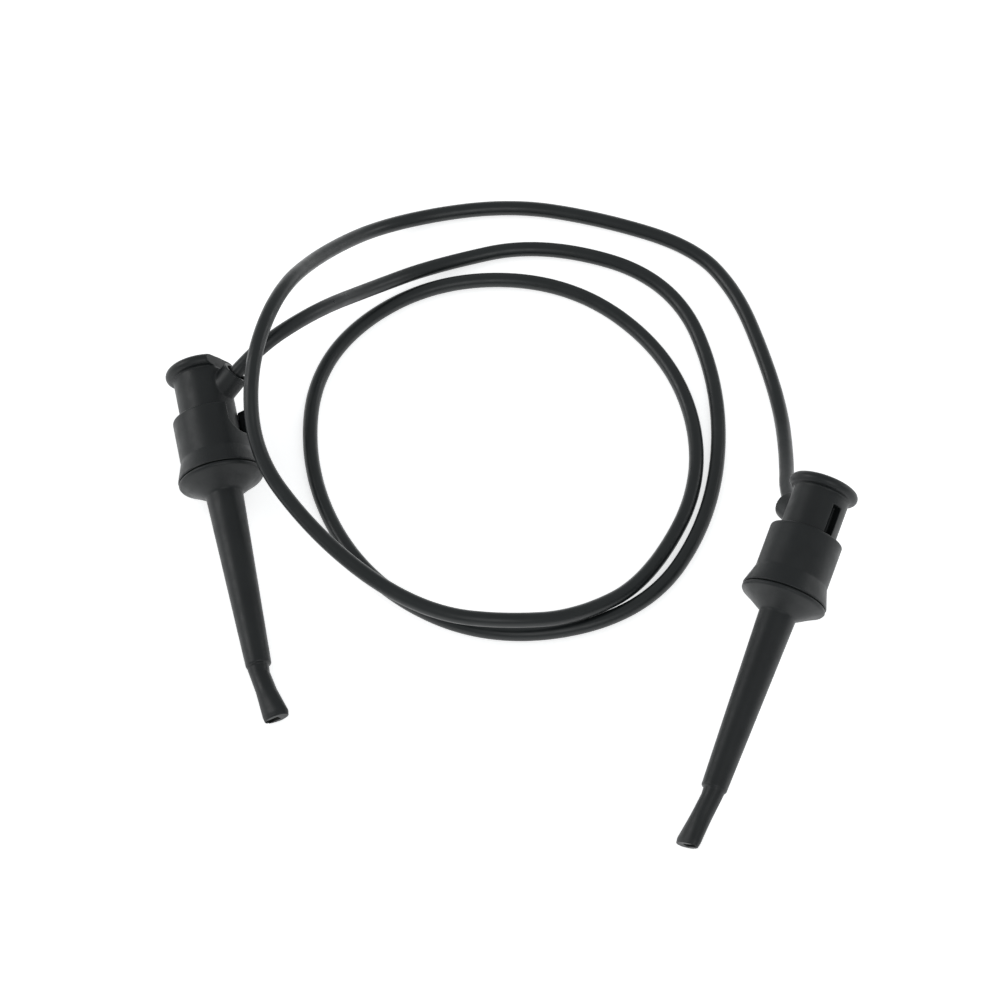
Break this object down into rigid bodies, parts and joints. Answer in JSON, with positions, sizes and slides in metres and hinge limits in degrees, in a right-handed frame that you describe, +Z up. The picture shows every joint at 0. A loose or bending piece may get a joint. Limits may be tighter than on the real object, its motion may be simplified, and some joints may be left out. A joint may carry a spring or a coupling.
{
  "type": "hook clip test lead",
  "caption": "Flexible test lead, one cord lying in loose loops with a spring-loaded hook clip at each end; squeezing a clip pushes its contact hook out of the nose.",
  "frame": {"origin": "middle of the two clips' footprint, on the surface the lead lies on", "axes": "+X across the lead from the left clip to the right clip, +Y from the clips' tips towards their caps, +Z up"},
  "size_m": [0.0957, 0.106, 0.0194],
  "materials": {
    "clip_plastic": "satin black",
    "cord_jacket": "smooth black flexible jacket",
    "contact_wire": "plated spring wire",
    "spring_steel": "drawn wire",
    "ferrule_metal": "crimped",
    "conductor_metal": "stranded copper, stands in for copper"
  },
  "bodies": {
    "lead": {"cord": "cord_jacket", "left_plunger": "clip_plastic", "left_hook_wire": "contact_wire", "left_return_spring": "spring_steel", "left_ferrule": "ferrule_metal", "left_conductor": "conductor_metal", "right_plunger": "clip_plastic", "right_hook_wire": "contact_wire", "right_return_spring": "spring_steel", "right_ferrule": "ferrule_metal", "right_conductor": "conductor_metal"},
    "left_barrel": {"left_sleeve": "clip_plastic", "left_nose": "clip_plastic"},
    "right_barrel": {"right_sleeve": "clip_plastic", "right_nose": "clip_plastic"}
  },
  "joints": [
    {"name": "left_squeeze", "type": "slide", "parent": "lead", "child": "left_barrel", "axis": [-0.2008, 0.9697, 0.1392], "range_m": [0, 0.0045], "stiffness_N_per_m": 300, "springref_m": -0.003, "deforming": ["left_return_spring"]},
    {"name": "right_squeeze", "type": "slide", "parent": "lead", "child": "right_barrel", "axis": [0.346, 0.9109, 0.2249], "range_m": [0, 0.0045], "stiffness_N_per_m": 300, "springref_m": -0.003, "deforming": ["right_return_spring"]}
  ]
}
